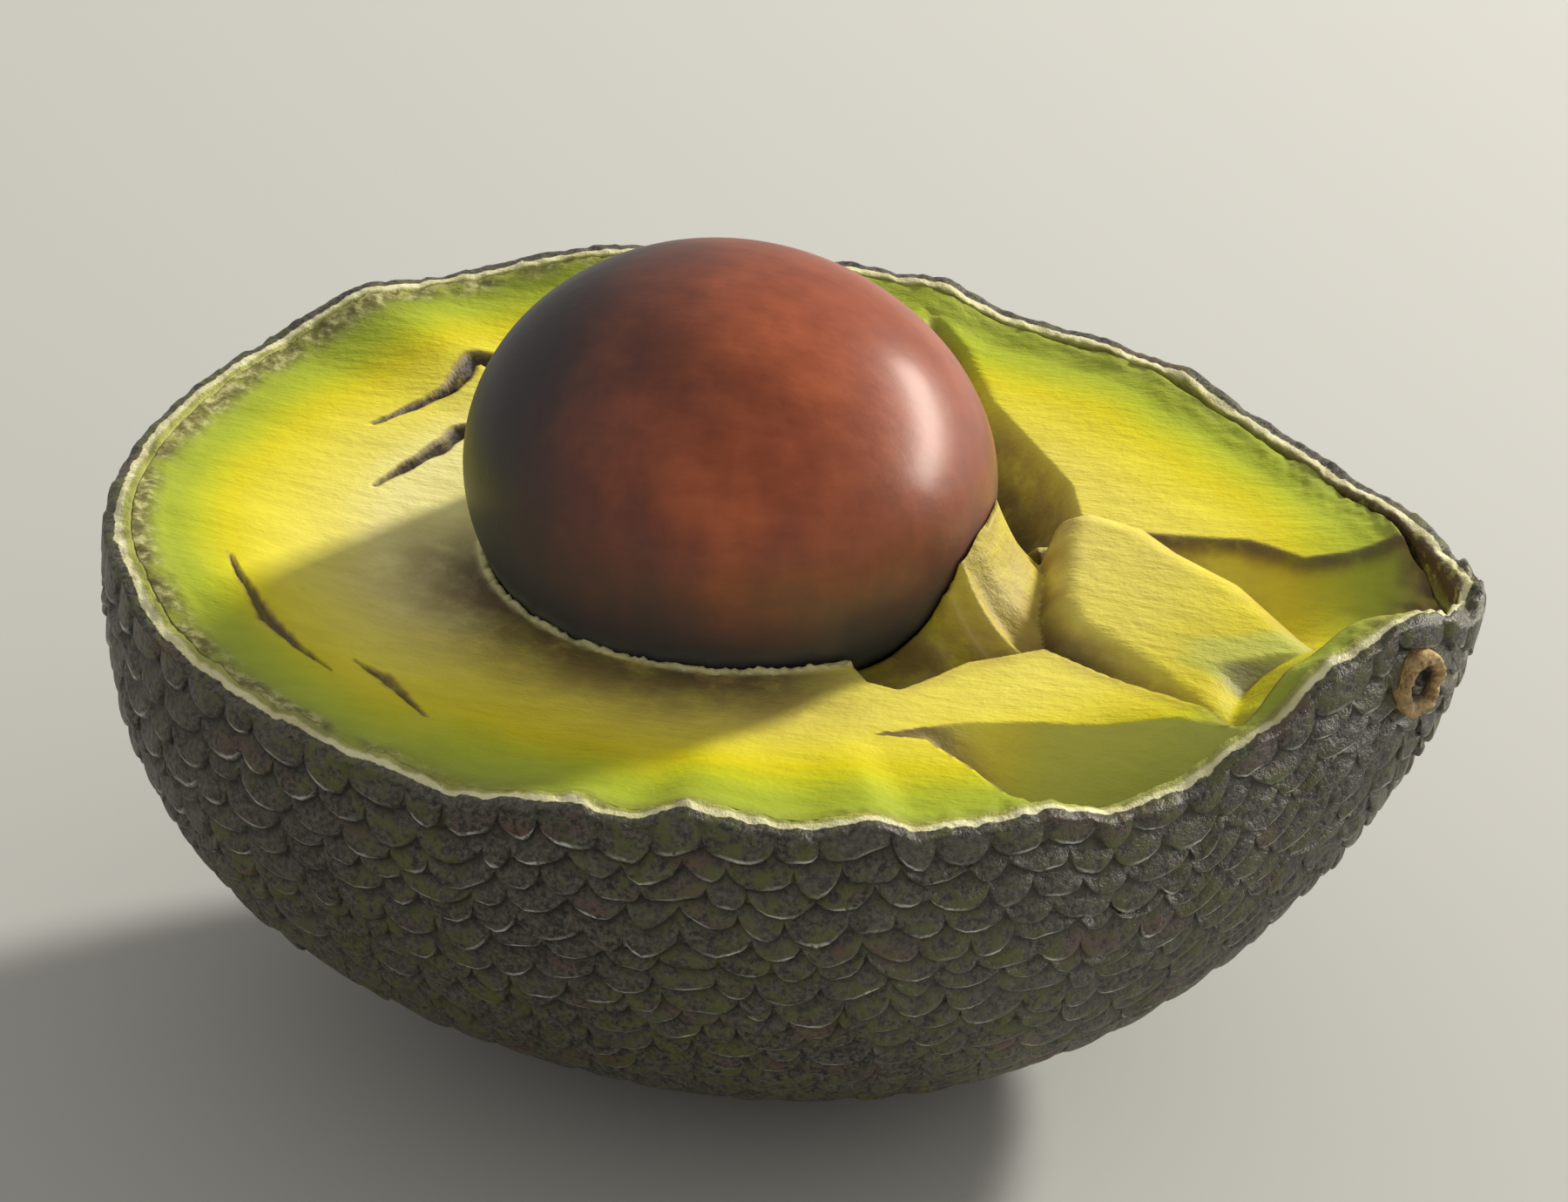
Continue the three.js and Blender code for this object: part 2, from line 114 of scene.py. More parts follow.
# Depths below the peel that the flesh is coloured by: the deepest that tells, that of the green
# forms, and the most that the flesh clinging to the stone shows
MEAN_RADIUS = 40
DEEPEST_RIND = 20.0
GREEN_RIND = 3.6
CLINGING_RIND = 10

# Forms of the flesh, in plan from the fruit's centre, with heights from the cut
DISH = 1.7
DISH_FLAT = 0.35
DISH_UNEVENNESS = 0.12
RIM_WAVE_REACH = (0.55, 0.95)
PIT_OUTLINE = (
    (3.5, 32), (6.6, 29.2), (9.9, 22.6), (14.1, 17.5), (17.4, 13.5), (19.1, 9.2), (17.8, 6.6),
    (15, 4), (0, 6), (2, 20),
)
PIT_DEPTH = 8
PIT_SLOPE = 1.5
TEAR_OUTLINE = (
    (9, 4), (16.5, 5.5), (18.6, 9.2), (22, 8.2), (26.9, 8.3), (30.9, 8), (35.2, 5.9), (38, 6.6),
    (41.2, 8.2), (50, 8.6), (50, -5), (41.5, -5.6), (38.5, -9.5), (36.8, -11.5), (34.4, -16.2),
    (31.6, -13.5), (26.1, -10.8), (19.5, -7.2), (14.7, -9.7), (12.7, -12.2), (10.9, -14.2),
    (8.6, -13.6), (4, -8),
)
TEAR_DEPTH = 6
TEAR_DEPTH_AT_STALK = 2.4
TEAR_WALL = 1.3
TEAR_BACK = ((22, 8.2), (26.9, 8.3), (30.9, 8), (35.2, 5.9), (38, 6.6), (41.2, 8.2), (50, 8.6))
TEAR_BACK_DEPTH = 0.8
TEAR_BACK_SLOPE = 0.42
TEAR_LEAVES = 2
LOBE_OUTLINE = (
    (17, 2.5), (17.3, 5.6), (19.7, 7.3), (24.4, 6.8), (27.3, 5.1), (32, 3.3), (37, -0.6), (41, -3),
    (37.8, -8.4), (36.8, -11), (33.8, -15), (29.4, -12.5), (25.8, -10.2), (20, -7.4), (17.9, -4.2),
)
LOBE_TOP = (22, 3)
LOBE_HEIGHT = 1.5
LOBE_SLOPE = (-0.1, 0.2)
LOBE_DROP = 5.5
LOBE_EDGE = 3.4
LEDGE_TOP = ((30, -6.4), (37.5, -4))
LEDGE_FOOT = ((30, -6.9), (37.5, -8.1))
LEDGE_DEPTH = 2.7
LEDGE_RETURN = 8
CLINGING_CREST = (
    (11, -3), (6, 3.4), (0, 5.6), (-12, 5.2), (-20.5, 4), (-24.5, 1.7), (-28, -2), (-32, -3.7),
    (-50, -4.6),
)
CLINGING_DROP = ((10, 6), (0, 9), (-17, 9), (-24, 6.5), (-31, 1.4), (-50, 0.8))
CLINGING_REACH = 2.6
SCOOP_CREST = (
    (10.2, -20.4), (13.6, -18.6), (16.2, -17.4), (20.8, -16.2), (25.4, -15.5), (29.9, -14.7),
    (33.4, -15.7), (36.5, -17.8),
)
SCOOP_FRONT = (
    (10.2, -20.4), (13.9, -20.1), (17.3, -22.6), (20.2, -25.1), (23, -26.9), (27, -29.8), (31, -33),
)
SCOOP_DEPTH = 4.2
SCOOP_SLOPE = 0.85
SCOOP_WALL = 1.2
SCOOP_LEAVES = 1.6
CRACKS = (
    ((-15.5, 13), (-22, 18.6), (-27.6, 18.4), (-28.5, 15.1), (-30.4, 12.5), (-32.5, 9.7)),
    ((-17.5, 10.5), (-21.5, 11.8), (-26.3, 10.4), (-27.4, 7.3), (-28.9, 4.8), (-30.3, 1.9)),
)
CRACK_DEPTH = 2.6
CRACK_HALF_WIDTH = 1.2
SCRATCHES = (
    ((-36.8, -11.9), (-35.1, -15), (-32, -18.7), (-29.2, -21.1), (-26.4, -22.6)),
    ((-25.2, -20.9), (-22.5, -22.4), (-18.9, -25.6)),
)
SCRATCH_HALF_WIDTH = 0.45
SCRATCH_DEPTH = 0.5

# Stalk scar
SCAR_AZIMUTH = math.radians(-22)
SCAR_ELEVATION = math.radians(-4)
SCAR_RADIUS = 2.6
SCAR_NARROWING = 0.76
SCAR_INSET = 0.3
SCAR_ROOT = 1.2
SCAR_SMOOTH_BELOW = -0.5

# Steps of the scar's ring, each a rise and a share of the last radius: up from its root, in
# over its crown, down inside and across its core
SCAR_STEPS = (
    (SCAR_ROOT, 1.0), (0.4, 1.0), (0.25, 0.97), (0.12, 0.93), (0.03, 0.9), (-0.05, 0.88),
    (-0.15, 0.88), (-0.35, 0.87), (-0.35, 0.88), (-0.1, 0.8), (0.04, 0.6), (0.03, 0.5),
)

# Camera, at the photograph's angle
VIEW_AZIMUTH = math.radians(12.93)
VIEW_ELEVATION = math.radians(33.45)
VIEW_DISTANCE = 450
PHOTO_WIDTH = 1800
FOCAL_PIXELS = 7418
FRAME_SHIFT_PIXELS = (-4.7, -20.5)


# Eases from 0 to 1 as a value goes from start to end, which may be the lower one
def ease(start, end, value):
    share = np.clip((value - start) / (end - start), 0, 1)
    return share * share * (3 - 2 * share)


def mix(low, high, share):
    return low + (high - low) * share


# A smooth run through pairs of place and height
def through(knots, at):
    places, heights = np.array(sorted(knots), dtype=float).T
    after = np.clip(np.searchsorted(places, at), 1, len(places) - 1)
    share = ease(places[after - 1], places[after], at)
    return mix(heights[after - 1], heights[after], share)


def direction(azimuth, elevation):
    level = np.cos(elevation)
    return np.stack([level * np.cos(azimuth), level * np.sin(azimuth), np.sin(elevation)], -1)


def girth(t, taper):
    return HALF_WIDTH * (1 - t * (taper[0] + t * (taper[1] + t * taper[2])))


# The fruit's surface over the scales' tops, for unit directions from its centre
def fruit(d):
    x, y, z = np.moveaxis(d, -1, 0)
    length = np.where(x > 0, STALK_LENGTH, BLOSSOM_LENGTH)
    rise = STALK_RISE * np.maximum(x, 0) ** RISE_POWER
    return np.stack([length * x, girth(x, PLAN_TAPER) * y, girth(x, DEPTH_TAPER) * z + rise], -1)


# Points that lie inset below the fruit's surface, measured square to it
def under(azimuth, elevation, inset):
    azimuth, elevation, inset = np.broadcast_arrays(azimuth, elevation, inset)
    nudge = 1e-4
    d = direction(azimuth, elevation)
    side = np.stack([-np.sin(azimuth), np.cos(azimuth), 0 * azimuth], -1)
    up = np.cross(d, side)
    here = fruit(d)
    along = fruit(d + nudge * side) - here
    across = fruit(d + nudge * up) - here
    normal = np.cross(along, across)
    normal /= np.linalg.norm(normal, axis=-1, keepdims=True)
    return here - normal * inset[..., None]


# Height of the torn rim over the level cut, in the direction of a place
def rim_wave(x, y):
    return through(RIM, np.degrees(np.arctan2(y, x)))


# A sum of a few sine waves, for small natural unevenness
def ripple(x, y, length, seed):
    draw = np.random.default_rng(seed)
    total = 0
    for octave in range(5):
        turn, phase = draw.uniform(0, 2 * np.pi, 2)
        wave = 2 * np.pi / (length * draw.uniform(0.6, 1.6))
        total = total + np.sin(wave * (x * np.cos(turn) + y * np.sin(turn)) + phase)
    return total / 5


# Distance to a path in plan, and how far along it the nearest point is, from 0 to 1
def near_path(x, y, path):
    best = np.full(np.shape(x), np.inf)
    along = np.zeros(np.shape(x))
    for i, ((ax, ay), (bx, by)) in enumerate(zip(path, path[1:])):
        length = max((bx - ax) ** 2 + (by - ay) ** 2, 1e-9)
        t = np.clip(((x - ax) * (bx - ax) + (y - ay) * (by - ay)) / length, 0, 1)
        distance = np.hypot(x - mix(ax, bx, t), y - mix(ay, by, t))
        along = np.where(distance < best, (i + t) / (len(path) - 1), along)
        best = np.fmin(best, distance)
    return best, along


# How far places in plan are inside a closed outline; negative outside
def inside_by(x, y, outline):
    inside = np.zeros(np.shape(x), dtype=bool)
    for (ax, ay), (bx, by) in zip(outline, outline[1:] + outline[:1]):
        if ay != by:
            crosses = ((ay > y) != (by > y)) & (x < (bx - ax) * (y - ay) / (by - ay) + ax)
            inside ^= crosses
    distance, _ = near_path(x, y, outline + outline[:1])
    return np.where(inside, distance, -distance)


# Height of the skin's inside over the level cut
def bowl_height(x, y):
    t = np.clip(x / np.where(x > 0, STALK_LENGTH, BLOSSOM_LENGTH), -1, 1)
    width = girth(t, PLAN_TAPER) - SKIN_INSET
    depth = girth(t, DEPTH_TAPER) - SKIN_INSET
    across = np.maximum(1 - t * t - (y / width) ** 2, 0)
    return STALK_RISE * np.maximum(t, 0) ** RISE_POWER - CUT_HEIGHT - depth * np.sqrt(across)


# Bearing round the stone in degrees, and how far out from its widest outline
def round_stone(x, y):
    dx = (x - STONE_CENTRE[0]) / STONE_RADII[0]
    dy = (y - STONE_CENTRE[1]) / STONE_RADII[1]
    return np.degrees(np.arctan2(dy, dx)), (np.hypot(dx, dy) - 1) * STONE_RADII[1]


# Each form below changes the height of the flesh over the level cut, and how tan and how dark it
# is, at places in plan. They start from a shallow dish, with the stone's shadow on the flesh in
# front of it painted in as tan and dark shade.
def dished(x, y):
    from_rim = np.hypot(x / BLOSSOM_LENGTH, y / HALF_WIDTH)
    bearing, away = round_stone(x, y)
    height = rim_wave(x, y) * ease(*RIM_WAVE_REACH, from_rim) - DISH * (1 - ease(DISH_FLAT, 1, from_rim))
    height = height + DISH_UNEVENNESS * ripple(x, y, 14, 31)
    # Painted shade: tan and dark where the stone's shadow falls on the flesh in front of it
    in_stone_shadow = ease(-45, -75, bearing) * ease(-185, -150, bearing)
    tan = ease(11, -1, away) * in_stone_shadow
    dark = 0.8 * ease(6.5, -1, away) * in_stone_shadow
    return height, tan, dark


# The gap behind the flesh that clings to the stone: tan at its edge, and darkened further in as painted
# shade
def add_pit(x, y, height, tan, dark):
    inside = inside_by(x, y, PIT_OUTLINE)
    height = np.where(inside > 0, height - np.minimum(PIT_SLOPE * inside, PIT_DEPTH), height)
    tan = np.maximum(tan, ease(-0.3, 1.2, inside))
    dark = np.maximum(dark, 0.9 * ease(0, 3.5, inside))
    return height, tan, dark


# The torn valley, deep by the stone, shallow along its back edge, with a tan ridge in front
def add_tear(x, y, height, tan, dark):
    inside = inside_by(x, y, TEAR_OUTLINE)
    ridge = ease(-3, -6, y) * ease(8, 12, x) * ease(36, 32, x)
    tan = np.maximum(tan, 0.5 * ridge * ease(-1.6, -0.2, inside))
    from_back, _ = near_path(x, y, TEAR_BACK)
    depth = mix(TEAR_DEPTH, TEAR_DEPTH_AT_STALK, ease(24, 40, x))
    shallow = np.minimum(depth, TEAR_BACK_DEPTH + TEAR_BACK_SLOPE * from_back)
    depth = mix(depth, shallow, ease(20.5, 25, x))
    floor = np.maximum(height - depth * ease(0, TEAR_WALL, inside), bowl_height(x, y) + TEAR_LEAVES)
    height = np.where(inside > 0, np.minimum(height, floor), height)
    # Painted shade: tan and dark along the valley's wall; the lighter tan over its floor is browned flesh
    floor_tan = mix(0.2, 0.6, ease(31, 25, x))
    tan = np.maximum(tan, ease(-0.35, 0.4, inside) * mix(0.9, floor_tan, ease(0.5, 1.5, inside)))
    dark = np.maximum(dark, 0.75 * ease(-0.15, 0.2, inside) * ease(1.1, 0.5, inside))
    return height, tan, dark


# The scoop falls from its crest to a wall at its front, and is green towards the stalk
def add_scoop(x, y, height, tan, dark):
    from_crest, _ = near_path(x, y, SCOOP_CREST)
    from_front, along = near_path(x, y, SCOOP_FRONT)
    drop = np.minimum(SCOOP_DEPTH, SCOOP_SLOPE * from_crest) * ease(0, SCOOP_WALL, from_front)
    scooped = np.maximum(height - drop, np.minimum(height, bowl_height(x, y) + SCOOP_LEAVES))
    inside = inside_by(x, y, SCOOP_CREST + SCOOP_FRONT[::-1]) > 0
    height = np.where(inside, scooped, height)
    # Painted shade: tan and dark beside the front wall, and dark on the face under the crest
    beside = ease(4.2, 0.5, from_front) * ease(0.95, 0.45, along)
    shaded = np.maximum(0.75 * ease(1.7, 0.3, from_front), 0.6 * beside)
    tan = np.maximum(tan, np.where(inside, np.maximum(beside, 0.1), 0))
    dark = np.maximum(dark, np.where(inside, shaded, 0))
    green = np.where(inside, 0.85 * ease(16, 23, x) * ease(0, 2, from_front), 0)
    return height, tan, dark, green


# Cracks run out from the stone and end in a point
def add_cracks(x, y, height, tan, dark):
    for crack in CRACKS:
        distance, along = near_path(x, y, crack)
        half = CRACK_HALF_WIDTH * (1 - 0.8 * along) * (1 + 0.5 * ripple(x, y, 2.2, 21))
        height = height - CRACK_DEPTH * (1 - 0.7 * along) * np.maximum(0, 1 - distance / half)
        # Tan edges are browned flesh; the dark core is painted shade down in the crack
        tan = np.maximum(tan, ease(1.5, 0.7, distance / half))
        dark = np.maximum(dark, ease(1.2, 0.75, distance / half))
    return height, tan, dark


# Scratches are shallow, and thin at both ends
def add_scratches(x, y, height, tan, dark):
    for scratch in SCRATCHES:
        distance, along = near_path(x, y, scratch)
        half = SCRATCH_HALF_WIDTH * (1.15 - np.abs(2 * along - 1)) * (1 + 0.4 * ripple(x, y, 1.8, 22))
        height = height - SCRATCH_DEPTH * ease(1, 0, distance / half)
        tan = np.maximum(tan, ease(1.6, 0.9, distance / half))
        dark = np.maximum(dark, 0.75 * ease(1.1, 0.5, distance / half))
    return height, tan, dark


# Height of the flesh that clings to the stone: a crest that falls away outwards
def clinging_flesh(x, y):
    bearing, away = round_stone(x, y)
    fall = 1 - np.exp(-np.maximum(away, 0) / CLINGING_REACH)
    return through(CLINGING_CREST, bearing) - through(CLINGING_DROP, bearing) * fall


def add_clinging_flesh(x, y, height, tan, dark):
    cling = clinging_flesh(x, y)
    # The clinging flesh is tan; the extra tan and dark towards its foot are painted shade
    tan = np.where(cling > height, 0.7 + 0.3 * ease(1.5, -3.5, cling), tan)
    dark = np.where(cling > height, 0.3 * ease(-1.5, -4, cling), dark)
    return np.maximum(height, cling), tan, dark


# The loose lobe's rounded top, with no ledge yet; nothing outside its outline
def lobe(x, y, inside):
    rounded = np.sqrt(1 - np.clip(1 - inside / LOBE_EDGE, 0, 1) ** 2)
    top = LOBE_HEIGHT + LOBE_SLOPE[0] * (x - LOBE_TOP[0]) + LOBE_SLOPE[1] * (y - LOBE_TOP[1])
    return np.where(inside > 0, top - LOBE_DROP * (1 - rounded), -np.inf)


# The lobe's stalk end steps down over a ledge in front, whose face is painted dark as shade, and is green
# above it
def add_lobe(x, y, height, tan, dark, green):
    inside = inside_by(x, y, LOBE_OUTLINE)
    ledge_top = through(LEDGE_TOP, x)
    ledge_foot = through(LEDGE_FOOT, x)
    down = np.clip((ledge_top - y) / (ledge_top - ledge_foot), 0, 1)
    past = np.maximum(ledge_foot - y, 0)
    lump = lobe(x, y, inside) - LEDGE_DEPTH * ease(30.5, 37, x) * down * ease(LEDGE_RETURN, 0, past)
    streaks = 0.5 + 0.5 * np.sin(1.9 * (y + 0.35 * x) + 1.4 * ripple(x, y, 9, 41))
    nose = ease(21.5, 18.5, x)
    # Painted shade: tan and dark round the lobe's edges and nose, darker on its near side; the streaks are
    # its own tan
    tan_and_edge_shade = np.maximum(ease(4.2, 0.8, inside), 0.2 + 0.12 * nose) * mix(0.6, 1, streaks)
    near_side = ease(1, -4, y)
    edge_shade = mix(0.5, 0.85, near_side) * ease(mix(1.0, 2.6, near_side), 0.2, inside)
    on_ledge = ease(0, 0.3, down) * ease(1.6, 0, past) * ease(30.5, 33, x)
    touches = lump > height - 0.3
    tan = np.where(touches, np.maximum(tan_and_edge_shade, 0.3 * on_ledge), tan)
    dark = np.where(touches, np.maximum(edge_shade, 0.8 * on_ledge), dark)
    over_ledge = ease(3.6, 1.4, y - ledge_top) * ease(-1.5, 0, y - ledge_foot)
    green = np.where(lump > height, ease(25, 31, x) * over_ledge, green)
    return np.maximum(height, lump), tan, dark, green


# Height of the flesh over the level cut, with how tan, how dark and how green it is, in plan
def flesh_form(x, y):
    height, tan, dark = dished(x, y)
    for add in (add_pit, add_tear):
        height, tan, dark = add(x, y, height, tan, dark)
    height, tan, dark, green = add_scoop(x, y, height, tan, dark)
    for add in (add_cracks, add_scratches, add_clinging_flesh):
        height, tan, dark = add(x, y, height, tan, dark)
    height, tan, dark, green = add_lobe(x, y, height, tan, dark, green)
    tip = ease(40, 44.5, x + 0.25 * ripple(x, y, 3, 24))
    tan = np.maximum(tan, tip)
    dark = np.maximum(dark, 0.75 * tip * ease(-0.4, 0.3, ripple(x, y, 2.0, 23)))
    return height, np.clip(tan, 0, 1), np.clip(dark, 0, 1), green


# Width of the stone as a share of its greatest, from the blossom end at -1 to the stalk end at 1
def stone_width(t):
    return 1 - STONE_TAPER[0] * t - STONE_TAPER[1] * t * t


# Height of the hollow's wall under the stone, from the cut; no limit outside its outline
def hollow_height(x, y):
    width = stone_width((x - STONE_CENTRE[0]) / STONE_RADII[0])
    rx, ry, rz = HOLLOW_RADII
    across = 1 - ((x - STONE_CENTRE[0]) / rx) ** 2 - ((y - STONE_CENTRE[1]) / ry) ** 2
    wall = STONE_CENTRE[2] - CUT_HEIGHT - rz * width * np.sqrt(np.maximum(across, 0))
    return np.where(across > 0, wall, np.inf)


# One closed surface, woven from loops that each run once round the fruit, from the top of the
# inside to the bottom of the outside. A loop is its shares of the way round and its points.
def weave(name, loops, first_tip, last_tip, marks):
    points = [np.array([first_tip])]
    faces = []
    start = 1
    starts = []
    for _, ring in loops:
        starts.append(start)
        points.append(ring)
        start += len(ring)
    points.append(np.array([last_tip]))
    for (shares, _), (next_shares, _), here, there in zip(loops, loops[1:], starts, starts[1:]):
        faces += band(shares, next_shares, here, there)
    first, last = len(loops[0][0]), len(loops[-1][0])
    faces += [(1 + i, 1 + (i + 1) % first, 0) for i in range(first)]
    faces += [(starts[-1] + (i + 1) % last, starts[-1] + i, start) for i in range(last)]
    return solid(name, np.concatenate(points), faces, marks)


# Faces between two loops, of quads where both have the same places
def band(shares, next_shares, here, there):
    count, next_count = len(shares), len(next_shares)
    if count == next_count and np.allclose(shares, next_shares):
        turn = [(i, (i + 1) % count) for i in range(count)]
        return [(here + i, there + i, there + j, here + j) for i, j in turn]
    faces = []
    i = j = 0
    while i < count or j < next_count:
        ahead = shares[(i + 1) % count] + (i + 1) // count
        next_ahead = next_shares[(j + 1) % next_count] + (j + 1) // next_count
        a = here + i % count
        b = there + j % next_count
        if j >= next_count or (i < count and ahead < next_ahead):
            faces.append((a, b, here + (i + 1) % count))
            i += 1
        else:
            faces.append((a, b, there + (j + 1) % next_count))
            j += 1
    return faces


# A smooth mesh in metres from the resting spot, with a value at each point for each mark
def solid(name, points, faces, marks):
    place = (points - np.array([REST_X, 0, -REST_DEPTH])) * MM
    mesh = bpy.data.meshes.new(name)
    mesh.from_pydata(place.tolist(), [], faces)
    for mark, values in marks.items():
        layer = mesh.attributes.new(mark, "FLOAT", "POINT")
        layer.data.foreach_set("value", np.asarray(values, dtype=np.float32))
    mesh.polygons.foreach_set("use_smooth", np.ones(len(mesh.polygons), dtype=bool))
    mesh.update()
    piece = bpy.data.objects.new(name, mesh)
    bpy.context.collection.objects.link(piece)
    return piece


# Azimuths that share a level loop into equal lengths of skin
def even_azimuths(shares, elevation):
    azimuth = np.linspace(0, 2 * np.pi, 721)
    loop = fruit(direction(azimuth, np.full_like(azimuth, elevation)))
    lengths = np.linalg.norm(np.diff(loop, axis=0), axis=-1)
    run = np.concatenate([[0], np.cumsum(lengths)])
    return np.interp(np.asarray(shares) * run[-1], run, azimuth), run[-1]


# Elevation at which the fruit's inset surface comes up to a height over the cut
def reach(azimuth, inset, height):
    low = np.full(np.shape(azimuth), math.radians(-60))
    high = np.full(np.shape(azimuth), math.radians(35))
    for _ in range(30):
        middle = (low + high) / 2
        place = under(azimuth, middle, inset)
        above = place[..., 2] > CUT_HEIGHT + height(place[..., 0], place[..., 1])
        low = np.where(above, low, middle)
        high = np.where(above, middle, high)
    return (low + high) / 2


# Fine unevenness of the torn rim, coarser at the stalk's tip
def fray(x, y):
    uneven = 0.2 * ripple(x, y, 5, 3) + 0.2 * ripple(x, y, 2.2, 4) + 0.14 * ripple(x, y, 0.9, 6)
    return uneven * (1 + 2.5 * ease(44, 47, x))


class ScaleRow:
    """One row of scales, hung below a line given as elevations for shares of the way round."""

    def __init__(self, row, draw, above, rim):
        self.first = row == 0
        self.above = above
        self.rim = rim
        self.down = (row + 0.8) / SCALE_ROWS
        self.level = mix(0.0, LAST_ROW, self.down)
        self.height = -LAST_ROW / SCALE_ROWS
        _, around = even_azimuths([0], self.level)
        count = max(8, round(around / SCALE_WIDTH))
        jitter = draw.uniform(-0.24, 0.24, count)
        self.edges = (np.arange(count) + 0.25 + 0.5 * (row % 2) + jitter) / count
        self.ends = np.append(self.edges[1:], self.edges[0] + 1)
        self.droop = draw.uniform(0.45, 1.15, count)
        self.bulk = draw.uniform(0.7, 1.0, count)
        self.lean = draw.uniform(-0.45, 0.45, count)
        self.tint = draw.uniform(0, 1, count)
        self.shine = draw.uniform(-0.1, 1.15, count).clip(0, 1)
        self.shine_at = draw.uniform(-0.25, 0.25, count)
        self.phases = draw.uniform(0, 2 * np.pi, 2)

    def shares(self):
        width = (self.ends - self.edges)[:, None]
        return np.sort((self.edges[:, None] + SCALE_COLUMNS * width).ravel() % 1)

    # Which scale each share falls in, and how far across it, from -0.5 to 0.5
    def across(self, shares):
        place = np.searchsorted(self.edges, shares, side="right") - 1
        index = place % len(self.edges)
        start = self.edges[index] - (place < 0)
        end = self.ends[index] - (place < 0)
        return index, (shares - start) / (end - start) - 0.5

    # Elevations of the scales' lower edges
    def lip(self, shares):
        index, across = self.across(shares)
        across = across + self.lean[index] * (0.25 - across**2)
        belly = (1 - np.abs(2 * across).clip(0, 1) ** 2.3) ** 0.6
        slow = np.sin(8 * np.pi * shares + self.phases[0])
        quick = np.sin(22 * np.pi * shares + self.phases[1])
        base = mix(self.rim(shares), LAST_ROW, self.down) + SCALE_SWAY * self.height * (slow + quick)
        hung = base - self.height * self.droop[index] * (belly - 0.5)
        return np.minimum(hung, self.above(shares) - LEAST_SCALE * self.height)


class Skin:
    """The scaly cup. Its marks say where a scale's lip shines, where it dips under the next
    scale, its own tint, how far inside the dark layer the cut through the peel is, and where
    that cut is crusted brown."""

    def __init__(self):
        self.loops = []
        self.marks = {"glint": [0.0], "hollow": [0.0], "tint": [0.0], "cut": [2.0], "crust": [0.0]}

    def add(self, shares, points, glint=0.0, hollow=0.0, tint=0.5, cut=-1.0, crust=0.0):
        self.loops.append((shares, points))
        values = {"glint": glint, "hollow": hollow, "tint": tint, "cut": cut, "crust": crust}
        for mark, value in values.items():
            self.marks[mark].extend(np.broadcast_to(value, len(points)))

    def inner_wall(self):
        shares = np.arange(INNER_COLUMNS) / INNER_COLUMNS
        for elevation in INNER_ROWS:
            azimuth, _ = even_azimuths(shares, elevation)
            self.add(shares, under(azimuth, elevation, SKIN_INSET), cut=2)

    # Lays the rim's rings, and gives the elevation of the last for shares of the way round
    def rim(self):
        shares = np.arange(RIM_COLUMNS) / RIM_COLUMNS
        azimuth, _ = even_azimuths(shares, 0)
        turn = (np.degrees(azimuth) + 180) % 360 - 180
        dark_layer = mix(1.0, 1.3, ease(0, 0.7, np.sin(azimuth)))
        dark_layer = dark_layer + 0.7 * ease(14, 5, np.abs(turn + 3))
        crust = ease(-12, -4, turn) * ease(62, 30, turn)
        for inset, lift in RIM_RINGS:
            top = reach(azimuth, inset, lambda x, y: rim_wave(x, y) + fray(x, y) + lift)
            self.add(shares, under(azimuth, top, inset), cut=inset - dark_layer, crust=crust)
        return lambda s: np.interp(s, np.append(shares, 1), np.append(top, top[0]))

    def scales(self, rim):
        draw = np.random.default_rng(7)
        above = rim
        for number in range(SCALE_ROWS):
            row = ScaleRow(number, draw, above, rim)
            shares = row.shares()
            azimuth, _ = even_azimuths(shares, row.level)
            index, across = row.across(shares)
            dome = (1 - np.abs(2 * across) ** 2.4) ** 0.5
            fade = ease(1, 0.93, row.down)
            top = above(shares) - (FIRST_OVERLAP if row.first else SCALE_OVERLAP) * row.height
            bottom = row.lip(shares)
            shine = row.shine[index] * np.exp(-(((across - row.shine_at[index]) / 0.24) ** 2))
            for t in SCALE_LINES:
                swell = 1.0 if row.first else mix(0.15, 1, ease(0, 0.85, t))
                rise = swell * mix(0.35, 1, dome) * row.bulk[index] - 0.15 * ease(0.9, 1, t)
                inset = SCALE_TOP_INSET + SCALE_RELIEF * (1 - rise * fade)
                points = under(azimuth, mix(top, bottom, t), inset)
                # Marks for the painted highlight near each lip and the painted shade at each scale's top
                glint = shine * ease(0.85, 0.95, t) * (1 if t < 1 else 0.4)
                hollow = 0 if row.first else ease(0.35, 0, t)
                self.add(shares, points, glint=glint, hollow=hollow, tint=row.tint[index])
            above = row.lip

    def piece(self):
        self.inner_wall()
        self.scales(self.rim())
        for _, points in self.loops:
            points[:, 2] = np.maximum(points[:, 2], -REST_DEPTH)
        for mark in self.marks.values():
            mark.append(0.0)
        first_tip = under(0, -math.pi / 2, SKIN_INSET)
        last_tip = (REST_X, 0, -REST_DEPTH)
        return weave("avocado_skin", self.loops, first_tip, last_tip, self.marks)


# How far the flesh has drawn back from the skin, which shows as a dark gap along the back
def shrinkage(azimuth):
    turn = np.degrees(azimuth)
    at_back = ease(8, 20, turn) * ease(86, 70, turn)
    return np.maximum(at_back * (0.28 + 0.3 * np.sin(23 * azimuth) * np.sin(9 * azimuth + 1)), 0)


# Depth of a place in the flesh below the peel, which its colour goes by
def rind_depth(x, y, z):
    length = np.where(x > 0, STALK_LENGTH, BLOSSOM_LENGTH)
    width = girth(np.clip(x / length, -1, 1), PLAN_TAPER)
    out = np.sqrt((x / length) ** 2 + (y / width) ** 2 + (np.minimum(z, 0) / HALF_WIDTH) ** 2)
    inward = (1 - out) * MEAN_RADIUS - SKIN_INSET
    rind = np.minimum(inward, 0.52 * (z - CUT_HEIGHT - bowl_height(x, y)))
    return rind * mix(0.86, 1.35, ease(-14, -26, x))


# The thin raised lip of flesh round the front of the hollow, painted pale as a highlight on its edge
def stone_lip(x, y):
    bearing, away = round_stone(x, y)
    round_front = np.maximum(ease(-40, -52, bearing), ease(150, 165, bearing))
    return ease(0.48, 0.1, np.abs(away + 1.0)) * round_front


